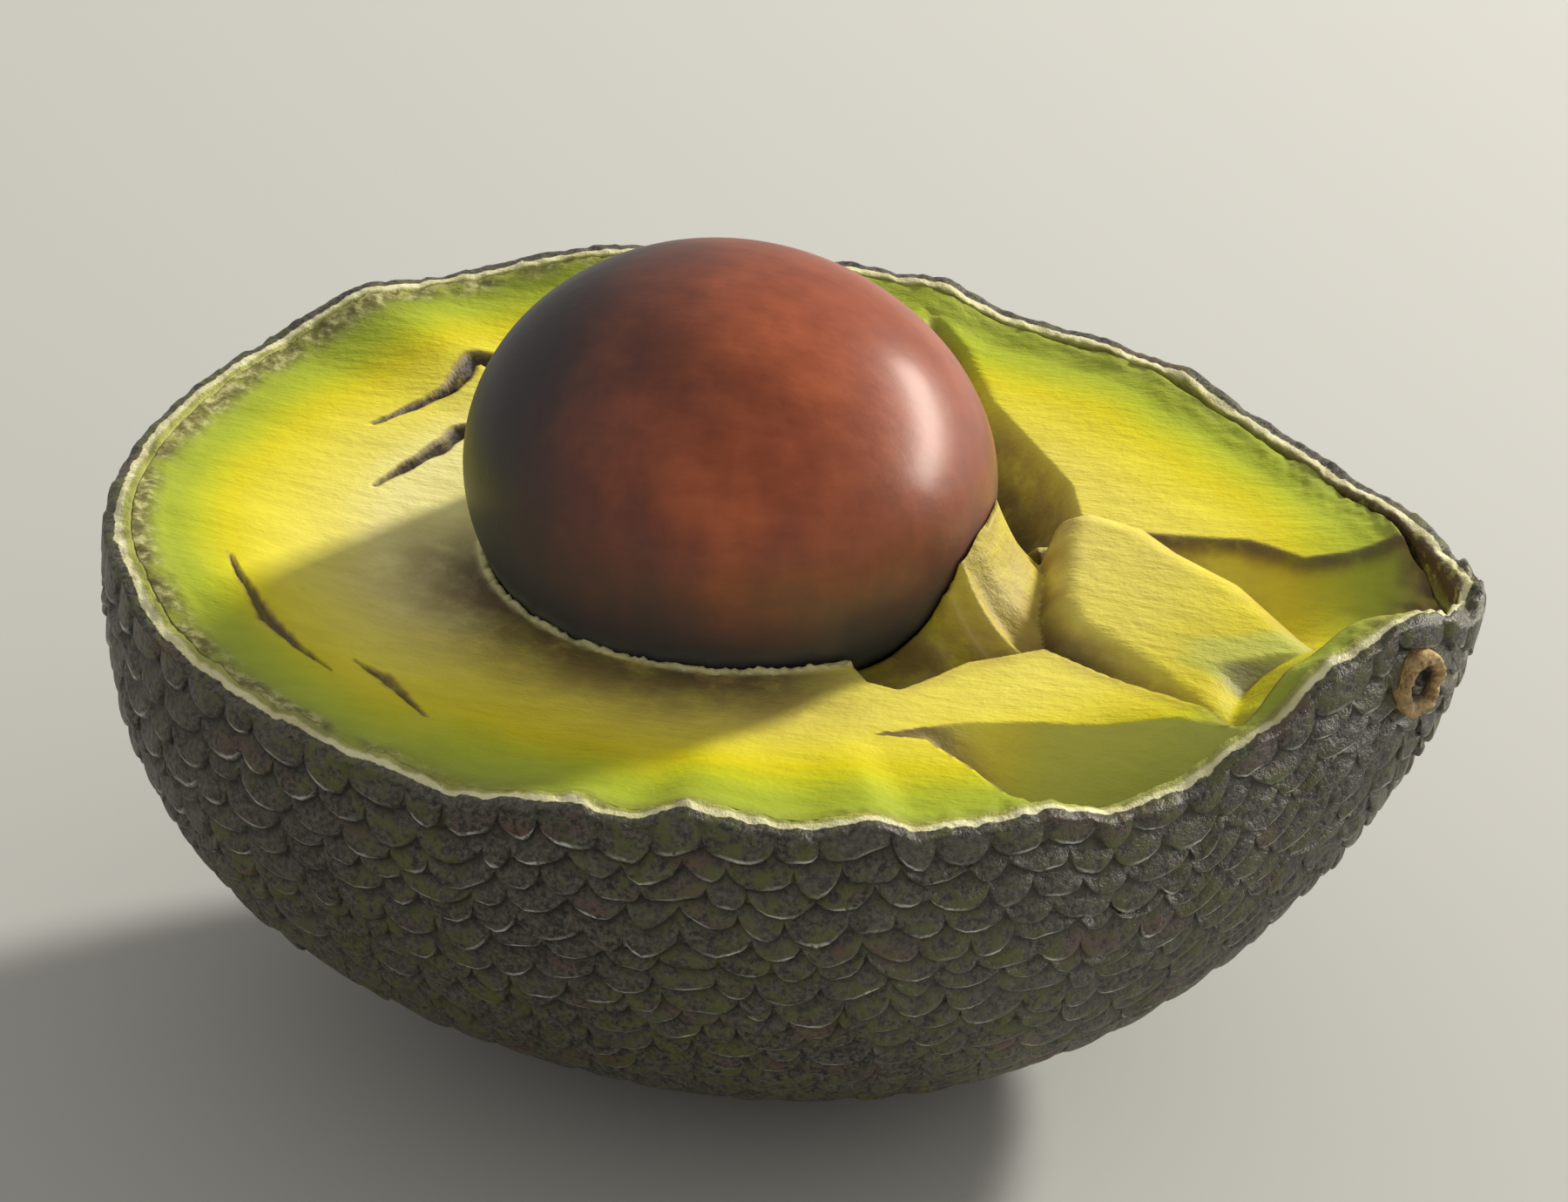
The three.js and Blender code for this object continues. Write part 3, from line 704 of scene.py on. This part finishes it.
class Flesh:
    """The flesh: its torn top as rings from the hollow's middle out to the skin, then its outside.
    Its marks say how deep below the peel a place is, how tan, dark and pale, and how mottled."""

    def __init__(self):
        degrees = np.concatenate([np.arange(*FINE_DEGREES), np.arange(*COARSE_DEGREES)])
        self.azimuth = np.radians(np.sort(degrees % 360))
        self.shares = self.azimuth / (2 * np.pi)
        self.inset = SKIN_INSET + SKIN_GAP + shrinkage(self.azimuth)
        self.top = reach(self.azimuth, self.inset, self.edge_height)
        self.middle = np.array(STONE_CENTRE[:2])
        self.span = under(self.azimuth, self.top, self.inset)[:, :2] - self.middle
        self.loops = []
        self.marks = {"rind": [DEEPEST_RIND], "tan": [1.0], "dark": [1.0], "pale": [0.0], "mottle": [0.0]}

    def edge_height(self, x, y):
        return flesh_form(x, y)[0] + fray(x, y) - EDGE_SINK

    def add(self, points, **marks):
        self.loops.append((self.shares, points))
        for mark, value in marks.items():
            self.marks[mark].extend(np.broadcast_to(value, len(points)))

    # Shares of the way from the stone's middle to the flesh's edge, for each ring of the top
    def rings(self):
        hollow = 1 / np.hypot(*(self.span / HOLLOW_RADII[:2]).T)
        inner = np.concatenate([np.linspace(0.06, 0.8, 8), np.linspace(0.83, 0.995, 14), [0.9999]])
        outer = np.append(np.linspace(0, 0.992, 119) ** 1.03, (0.998, 1))
        return [hollow * share for share in inner] + [mix(hollow, 1, share) for share in outer]

    def add_ring(self, ring):
        x, y = (self.middle + self.span * ring[:, None]).T
        height, tan, dark, green = flesh_form(x, y)
        lip = stone_lip(x, y)
        height = height + lip * (0.2 + 0.45 * ripple(x, y, 2.4, 5) + 0.3 * ripple(x, y, 0.9, 8))
        meets_rim = ease(0.93, 1.0, ring)
        height = height + meets_rim * (fray(x, y) - EDGE_SINK) - LIP_ABOVE_FLESH * (1 - meets_rim)
        z = CUT_HEIGHT + np.minimum(height, hollow_height(x, y))
        rind = mix(rind_depth(x, y, z), GREEN_RIND, 0.8 * green)
        clings = clinging_flesh(x, y) > height - 0.1
        rind = np.where(clings, np.minimum(rind, CLINGING_RIND), rind)
        turn = np.degrees(np.arctan2(y, x))
        ends = np.maximum(ease(105, 135, np.abs(turn)), 0.3 * ease(-2, 8, turn) * ease(75, 45, turn))
        # Pale is a painted highlight along the stone's lip, and a paler tint over the green flesh
        self.add(
            np.stack([x, y, z], -1), rind=rind, tan=tan, dark=dark,
            pale=np.maximum(lip, 0.22 * green), mottle=ease(2.4, 0.5, rind) * ends)

    def add_outside(self):
        for down in (0.004, 0.02, *np.linspace(0.1, 1, 10)):
            elevation = mix(self.top, FLESH_FOOT, down)
            inset = mix(self.inset, DEEP_INSET, ease(0.01, 0.1, down))
            self.add(under(self.azimuth, elevation, inset), rind=0, tan=0, dark=0.6, pale=0, mottle=0)

    def piece(self):
        for ring in self.rings():
            self.add_ring(ring)
        self.add_outside()
        for mark in self.marks.values():
            mark.append(0.0)
        first_tip = (*self.middle, CUT_HEIGHT + hollow_height(*self.middle))
        last_tip = under(0, -math.pi / 2, DEEP_INSET)
        return weave("avocado_flesh", self.loops, first_tip, last_tip, self.marks)


# A place in millimetres from the fruit's centre, as one in metres from the resting spot
def from_centre(x, y, z):
    return ((x - REST_X) * MM, y * MM, (z + REST_DEPTH) * MM)


# The stone, a ball drawn out along the fruit, blunter towards the stalk
def stone_piece():
    bpy.ops.object.select_all(action="DESELECT")
    bpy.ops.mesh.primitive_uv_sphere_add(
        segments=128, ring_count=96, radius=MM, location=from_centre(*STONE_CENTRE),
        rotation=(0, math.pi / 2, 0))
    piece = bpy.context.object
    piece.name = "avocado_stone"
    bpy.ops.object.transform_apply(location=False, rotation=True, scale=False)
    piece.scale = STONE_RADII
    bpy.ops.object.transform_apply(location=False, rotation=False, scale=True)
    for vertex in piece.data.vertices:
        width = stone_width(vertex.co.x / (STONE_RADII[0] * MM))
        vertex.co.y *= width
        vertex.co.z *= width
    bpy.ops.object.transform_apply(location=True, rotation=False, scale=False)
    bpy.ops.object.shade_smooth()
    return piece


# The stalk scar: a ring turned up, in over its crown and down into its middle
def scar_piece():
    bpy.ops.object.select_all(action="DESELECT")
    radius = SCAR_RADIUS * MM
    bpy.ops.mesh.primitive_circle_add(vertices=96, radius=radius, location=(0, 0, -SCAR_ROOT * MM))
    piece = bpy.context.object
    piece.name = "avocado_stalk_scar"
    bpy.ops.object.transform_apply(location=True, rotation=False, scale=False)
    bpy.ops.object.mode_set(mode="EDIT")
    bpy.ops.mesh.select_all(action="SELECT")
    for rise, shrink in SCAR_STEPS:
        bpy.ops.mesh.extrude_region_move(TRANSFORM_OT_translate={"value": (0, 0, rise * MM)})
        bpy.ops.transform.resize(value=(shrink, shrink, 1), center_override=(0, 0, 0))
    bpy.ops.mesh.extrude_region_move(TRANSFORM_OT_translate={"value": (0, 0, 0)})
    bpy.ops.mesh.merge(type="CENTER")
    bpy.ops.mesh.select_all(action="SELECT")
    bpy.ops.mesh.normals_make_consistent(inside=False)
    bpy.ops.object.mode_set(mode="OBJECT")
    core = piece.data.attributes.new("core", "FLOAT", "POINT")
    for vertex, value in zip(piece.data.vertices, core.data):
        x, y, z = (length / MM for length in vertex.co)
        rough = 0.25 * ripple(x, y, 1.8, 11) + 0.14 * ripple(x, y, 0.7, 12)
        value.value = ease(0.62, 0.5, math.hypot(x, y) / SCAR_RADIUS + 0.2 * rough)
        if z > SCAR_SMOOTH_BELOW:
            vertex.co.z += rough * MM
            vertex.co.x *= 1 + 0.12 * rough
            vertex.co.y *= 1 + 0.12 * rough
        vertex.co.x *= SCAR_NARROWING
    foot = under(SCAR_AZIMUTH, SCAR_ELEVATION, SCAR_INSET)
    out = Vector(foot - under(SCAR_AZIMUTH, SCAR_ELEVATION, SCAR_INSET + 1))
    piece.rotation_euler = out.to_track_quat("Z", "Y").to_euler()
    piece.location = from_centre(*foot)
    bpy.ops.object.transform_apply(location=True, rotation=True, scale=False)
    bpy.ops.object.shade_smooth()
    return piece


class Finish:
    """A material's nodes, with short names for the few kinds used here."""

    def __init__(self, name):
        self.material = bpy.data.materials.new(name)
        self.material.use_nodes = True
        self.tree = self.material.node_tree
        self.shader = self.tree.nodes["Principled BSDF"]
        self.place = self.tree.nodes.new("ShaderNodeTexCoord").outputs["Object"]

    # Links a node's output to a socket, or sets the socket to a plain value
    def feed(self, socket, value):
        if isinstance(value, bpy.types.NodeSocket):
            self.tree.links.new(value, socket)
        else:
            socket.default_value = value

    def mark(self, name):
        node = self.tree.nodes.new("ShaderNodeAttribute")
        node.attribute_name = name
        return node.outputs["Fac"]

    def stretch(self, scale):
        node = self.tree.nodes.new("ShaderNodeMapping")
        self.feed(node.inputs["Vector"], self.place)
        node.inputs["Scale"].default_value = scale
        return node.outputs["Vector"]

    def shift(self, offset):
        node = self.tree.nodes.new("ShaderNodeVectorMath")
        node.operation = "ADD"
        self.feed(node.inputs[0], self.place)
        node.inputs[1].default_value = offset
        return node.outputs["Vector"]

    def dot(self, place, along):
        node = self.tree.nodes.new("ShaderNodeVectorMath")
        node.operation = "DOT_PRODUCT"
        self.feed(node.inputs[0], place)
        node.inputs[1].default_value = along
        return node.outputs["Value"]

    def noise(self, scale, detail=3, roughness=0.55, place=None, distortion=0):
        node = self.tree.nodes.new("ShaderNodeTexNoise")
        self.feed(node.inputs["Vector"], place or self.place)
        node.inputs["Scale"].default_value = scale
        node.inputs["Detail"].default_value = detail
        node.inputs["Roughness"].default_value = roughness
        node.inputs["Distortion"].default_value = distortion
        return node.outputs["Fac"]

    def maths(self, operation, a, b=0.0, clamp=False):
        node = self.tree.nodes.new("ShaderNodeMath")
        node.operation = operation
        node.use_clamp = clamp
        self.feed(node.inputs[0], a)
        self.feed(node.inputs[1], b)
        return node.outputs[0]

    # Eases from 0 to 1 as a value goes from low to high
    def between(self, value, low, high):
        node = self.tree.nodes.new("ShaderNodeMapRange")
        node.interpolation_type = "SMOOTHSTEP"
        self.feed(node.inputs["Value"], value)
        node.inputs["From Min"].default_value = low
        node.inputs["From Max"].default_value = high
        return node.outputs["Result"]

    def ramp(self, value, stops):
        node = self.tree.nodes.new("ShaderNodeValToRGB")
        self.feed(node.inputs["Fac"], value)
        elements = node.color_ramp.elements
        while len(elements) < len(stops):
            elements.new(0.5)
        for element, (position, colour) in zip(elements, stops):
            element.position = position
            element.color = (*colour, 1)
        return node.outputs["Color"]

    def blend(self, share, first, second, kind="MIX"):
        node = self.tree.nodes.new("ShaderNodeMix")
        node.data_type = "RGBA"
        node.blend_type = kind
        self.feed(node.inputs[0], share)
        for socket, colour in ((node.inputs[6], first), (node.inputs[7], second)):
            self.feed(socket, colour if isinstance(colour, bpy.types.NodeSocket) else (*colour, 1))
        return node.outputs[2]

    def bump(self, height, distance, strength=1.0, before=None):
        node = self.tree.nodes.new("ShaderNodeBump")
        self.feed(node.inputs["Height"], height)
        node.inputs["Distance"].default_value = distance
        node.inputs["Strength"].default_value = strength
        if before:
            self.feed(node.inputs["Normal"], before)
        return node.outputs["Normal"]

    def set(self, **inputs):
        names = {"colour": "Base Color", "roughness": "Roughness", "normal": "Normal",
                 "coat": "Coat Weight", "coat_roughness": "Coat Roughness",
                 "specular": "Specular IOR Level"}
        for name, value in inputs.items():
            self.feed(self.shader.inputs[names[name]], value)
        return self.material


# Near-black peel, olive and red in patches, with painted glints on the lips of its scales and painted
# shade where each scale tucks under the one above, and cream and green where it is cut
def skin_finish():
    finish = Finish("avocado_skin_finish")
    speckle = finish.noise(850, 4, 0.65)
    fine = finish.noise(2600, 4, 0.7)
    patch = finish.noise(75, 4)
    red_patch = finish.noise(150, 4, place=finish.stretch((1, 1, 1.7)))
    colour = finish.ramp(fine, ((0.4, (0.012, 0.011, 0.01)), (0.62, (0.125, 0.112, 0.085))))
    olive = finish.maths("MULTIPLY", finish.between(speckle, 0.44, 0.6), finish.between(patch, 0.34, 0.54))
    colour = finish.blend(finish.maths("MULTIPLY", olive, 0.8), colour, (0.1, 0.11, 0.018))
    red = finish.maths("MULTIPLY", finish.between(red_patch, 0.54, 0.68), finish.between(fine, 0.4, 0.6))
    colour = finish.blend(finish.maths("MULTIPLY", red, 0.7), colour, (0.13, 0.05, 0.04))
    colour = finish.blend(finish.maths("MULTIPLY", finish.mark("tint"), 0.25), colour, (0.11, 0.106, 0.09))
    # Painted shade at the top of each scale, under the one above
    hollow = finish.maths("MULTIPLY", finish.mark("hollow"), 0.85)
    colour = finish.blend(hollow, colour, (0.005, 0.004, 0.003))
    # Painted highlight: pale glints on the lips of the scales
    glint = finish.maths("MULTIPLY", finish.mark("glint"), finish.between(fine, 0.3, 0.52))
    colour = finish.blend(glint, colour, (0.92, 0.91, 0.84))
    fray = finish.maths("MULTIPLY", finish.maths("SUBTRACT", finish.noise(650, 4, 0.6), 0.5), 0.7)
    cut = finish.maths("ADD", finish.mark("cut"), fray)
    cream = finish.ramp(finish.noise(420, 4), ((0.32, (0.55, 0.5, 0.26)), (0.6, (0.78, 0.76, 0.46))))
    green = finish.ramp(finish.noise(420, 4), ((0.35, (0.24, 0.25, 0.05)), (0.6, (0.4, 0.41, 0.09))))
    brown = finish.maths("MULTIPLY", finish.mark("crust"), finish.between(speckle, 0.3, 0.5))
    green = finish.blend(brown, green, (0.09, 0.055, 0.025))
    layers = finish.blend(finish.between(cut, 0.35, 0.7), cream, green)
    inner = finish.between(cut, -0.06, 0.06)
    colour = finish.blend(inner, colour, layers)
    wrinkle = finish.bump(fine, 0.00015, 0.7)
    normal = finish.bump(speckle, 0.0005, 0.6, wrinkle)
    return finish.set(colour=colour, roughness=0.42, normal=normal, specular=0.45)


# Green at the peel, yellow, then cream, with tan and dark that are mostly painted shade, a painted
# highlight on the stone's lip, and a crumbly, mottled edge
def flesh_finish():
    finish = Finish("avocado_flesh_finish")
    wobble = finish.maths("MULTIPLY", finish.maths("SUBTRACT", finish.noise(110, 4), 0.5), 3.0)
    rind = finish.maths("ADD", finish.mark("rind"), wobble)
    share = finish.maths("DIVIDE", rind, DEEPEST_RIND, clamp=True)
    colour = finish.ramp(share, (
        (0.0, (0.3, 0.32, 0.05)), (0.07, (0.32, 0.39, 0.035)), (0.19, (0.41, 0.48, 0.025)),
        (0.28, (0.54, 0.55, 0.012)), (0.37, (0.68, 0.6, 0.008)), (0.5, (0.77, 0.68, 0.045)),
        (0.75, (0.8, 0.71, 0.13)), (0.95, (0.86, 0.79, 0.32)),
    ))
    streak = finish.noise(700, 5, 0.65, place=finish.stretch((0.35, 1.2, 1)))
    streak_tone = finish.ramp(streak, ((0.35, (0.8, 0.78, 0.6)), (0.6, (1, 1, 1))))
    colour = finish.blend(0.45, colour, streak_tone, "MULTIPLY")
    flecks = finish.noise(1100, 4, 0.65)
    crust = finish.ramp(flecks, (
        (0.42, (0.1, 0.085, 0.035)), (0.52, (0.24, 0.215, 0.08)), (0.62, (0.52, 0.5, 0.24)),
    ))
    patches = finish.between(finish.noise(300, 4), 0.32, 0.52)
    patchy = finish.maths("MULTIPLY", finish.mark("mottle"), patches)
    colour = finish.blend(finish.maths("MULTIPLY", patchy, 0.85), colour, crust)
    # Tan: browned flesh at cracks, scratches, the tip and the lobe's streaks, and painted shade in the
    # stone's shadow, the pit and along walls and edges
    tan_breakup = finish.between(finish.noise(300, 5, 0.6), 0.2, 0.62)
    tan = finish.maths("MULTIPLY", tan_breakup, finish.mark("tan"))
    colour = finish.blend(finish.maths("MULTIPLY", tan, 0.85), colour, (0.34, 0.22, 0.075))
    # Dark: painted shade in the stone's shadow, the pit, cracks, creases and under edges; the scratches'
    # lines and the blackened stalk tip are the flesh's own
    shade_breakup = finish.between(finish.noise(420, 5, 0.6), 0.15, 0.5)
    dark = finish.maths("MULTIPLY", shade_breakup, finish.mark("dark"))
    colour = finish.blend(finish.maths("MULTIPLY", dark, 0.92), colour, (0.045, 0.034, 0.03))
    # Pale: a painted highlight on the stone's lip, and a paler tint over green flesh
    colour = finish.blend(finish.maths("MULTIPLY", finish.mark("pale"), 0.9), colour, (0.82, 0.78, 0.38))
    pits = finish.bump(finish.noise(1500, 4, 0.6), 0.00012, 0.6)
    normal = finish.bump(streak, 0.0004, 0.5, pits)
    return finish.set(colour=colour, roughness=0.5, normal=normal, specular=0.3)


# Red-brown coat, glossy on its lit side, with painted shade darkening its left, its top, the side towards
# the key light and its underside
def stone_finish():
    finish = Finish("avocado_stone_finish")
    centre = Vector(from_centre(*STONE_CENTRE))
    from_middle = finish.shift(-centre)
    radius = STONE_RADII[1] * MM
    lit_side = finish.dot(from_middle, Vector((0.82, -0.01, -0.2)) / radius)
    key_facing_side = finish.dot(from_middle, Vector((0.51, 0.75, 0.42)) / radius)
    upward = finish.dot(from_middle, Vector((0, 0, 1)) / radius)
    mottle = finish.noise(110, 5, 0.6, place=finish.stretch((1.6, 1.6, 0.6)))
    uneven = finish.maths("MULTIPLY", finish.maths("SUBTRACT", mottle, 0.5), 0.4)
    lit_side = finish.maths("ADD", lit_side, uneven)
    upward = finish.maths("ADD", upward, uneven)
    streak = finish.noise(520, 4, 0.6, place=finish.stretch((0.3, 1, 1)))
    colour = finish.ramp(mottle, (
        (0.3, (0.4, 0.09, 0.036)), (0.52, (0.5, 0.12, 0.045)), (0.7, (0.58, 0.15, 0.06)),
    ))
    grain = finish.ramp(streak, ((0.35, (0.6, 0.52, 0.5)), (0.62, (1, 1, 1))))
    colour = finish.blend(0.5, colour, grain, "MULTIPLY")
    # Painted shade: darker towards the key light, on the unlit left and top, and underneath
    key_side_shade = finish.maths("MULTIPLY", finish.between(key_facing_side, 0.1, 0.75), 0.6)
    colour = finish.blend(key_side_shade, colour, (0.16, 0.05, 0.035))
    colour = finish.blend(finish.between(lit_side, 0.3, -0.8), colour, (0.045, 0.04, 0.043))
    colour = finish.blend(finish.between(upward, 0.55, -0.45), colour, (0.066, 0.068, 0.08))
    gloss = finish.maths("MULTIPLY", finish.between(lit_side, -0.2, 0.5), 0.25)
    normal = finish.bump(streak, 0.0002, 0.25)
    return finish.set(
        colour=colour, roughness=0.42, normal=normal, specular=0.2, coat=gloss, coat_roughness=0.24)


# Dry cork round a dark core
def scar_finish():
    finish = Finish("avocado_scar_finish")
    crumb = finish.noise(1600, 5, 0.7)
    colour = finish.ramp(crumb, (
        (0.34, (0.17, 0.1, 0.04)), (0.5, (0.45, 0.3, 0.12)), (0.66, (0.62, 0.45, 0.22)),
    ))
    colour = finish.blend(finish.mark("core"), colour, (0.03, 0.022, 0.015))
    normal = finish.bump(crumb, 0.0004, 0.8)
    return finish.set(colour=colour, roughness=0.8, normal=normal, specular=0.3)


# Gives a piece its finish, and puts it in the place of the solid of the same node
def dress(piece, node, finish):
    piece.data.materials.clear()
    piece.data.materials.append(finish)
    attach(piece, "root")
    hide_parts(node)


def add_camera():
    centre = Vector(from_centre(0, 0, 0))
    back = Vector((
        math.sin(VIEW_AZIMUTH) * math.cos(VIEW_ELEVATION),
        -math.cos(VIEW_AZIMUTH) * math.cos(VIEW_ELEVATION),
        math.sin(VIEW_ELEVATION),
    ))
    data = bpy.data.cameras.new("camera")
    camera = bpy.data.objects.new("camera", data)
    bpy.context.collection.objects.link(camera)
    camera.location = centre + back * VIEW_DISTANCE * MM
    camera.rotation_euler = back.to_track_quat("Z", "Y").to_euler()
    data.lens = data.sensor_width * FOCAL_PIXELS / PHOTO_WIDTH
    data.shift_x, data.shift_y = (pixels / PHOTO_WIDTH for pixels in FRAME_SHIFT_PIXELS)
    data.clip_start = 0.01
    bpy.context.scene.camera = camera


def toward(azimuth, elevation):
    return Vector(direction(math.radians(azimuth), math.radians(elevation)))


# An area light that faces the fruit, its length running from one azimuth and elevation to another
def add_light(name, start, end, distance, width, power, colour):
    start, end = toward(*start), toward(*end)
    away = (start + end).normalized()
    along = (end - start).normalized()
    data = bpy.data.lights.new(name, "AREA")
    data.shape = "RECTANGLE"
    data.size = (end - start).length * distance
    data.size_y = width
    data.energy = power
    data.color = colour
    light = bpy.data.objects.new(name, data)
    bpy.context.collection.objects.link(light)
    turn = Matrix((along, away.cross(along), away)).transposed().to_4x4()
    light.matrix_world = Matrix.Translation(Vector(from_centre(0, 0, 0)) + away * distance) @ turn
    return light


def add_floor():
    bpy.ops.object.select_all(action="DESELECT")
    bpy.ops.mesh.primitive_plane_add(size=14)
    floor = bpy.context.object
    floor.name = "floor"
    finish = Finish("floor_finish")
    floor.data.materials.append(finish.set(colour=(0.5, 0.5, 0.48, 1), roughness=0.9))


def add_world():
    world = bpy.data.worlds.new("studio")
    world.use_nodes = True
    background = world.node_tree.nodes["Background"]
    background.inputs["Color"].default_value = (1.0, 0.97, 0.91, 1)
    background.inputs["Strength"].default_value = 0.5
    bpy.context.scene.world = world


add_camera()
add_floor()
add_world()

# The key light throws the stone's shadow to the front left
key = add_light("key", (59, 26), (52, 24), distance=0.9, width=0.12, power=12, colour=(1.0, 0.96, 0.88))
key.visible_glossy = False

# The shine shows only in reflections, as the stripe on the stone's right
shine = add_light("shine", (-3, 6), (52, 29), distance=0.3, width=0.07, power=2.1, colour=(1.0, 0.92, 0.82))
shine.visible_diffuse = False
shine.visible_camera = False
bpy.context.scene.view_settings.view_transform = "Standard"

dress(Skin().piece(), "skin", skin_finish())
dress(Flesh().piece(), "flesh", flesh_finish())
dress(stone_piece(), "seed", stone_finish())
dress(scar_piece(), "stem_scar", scar_finish())
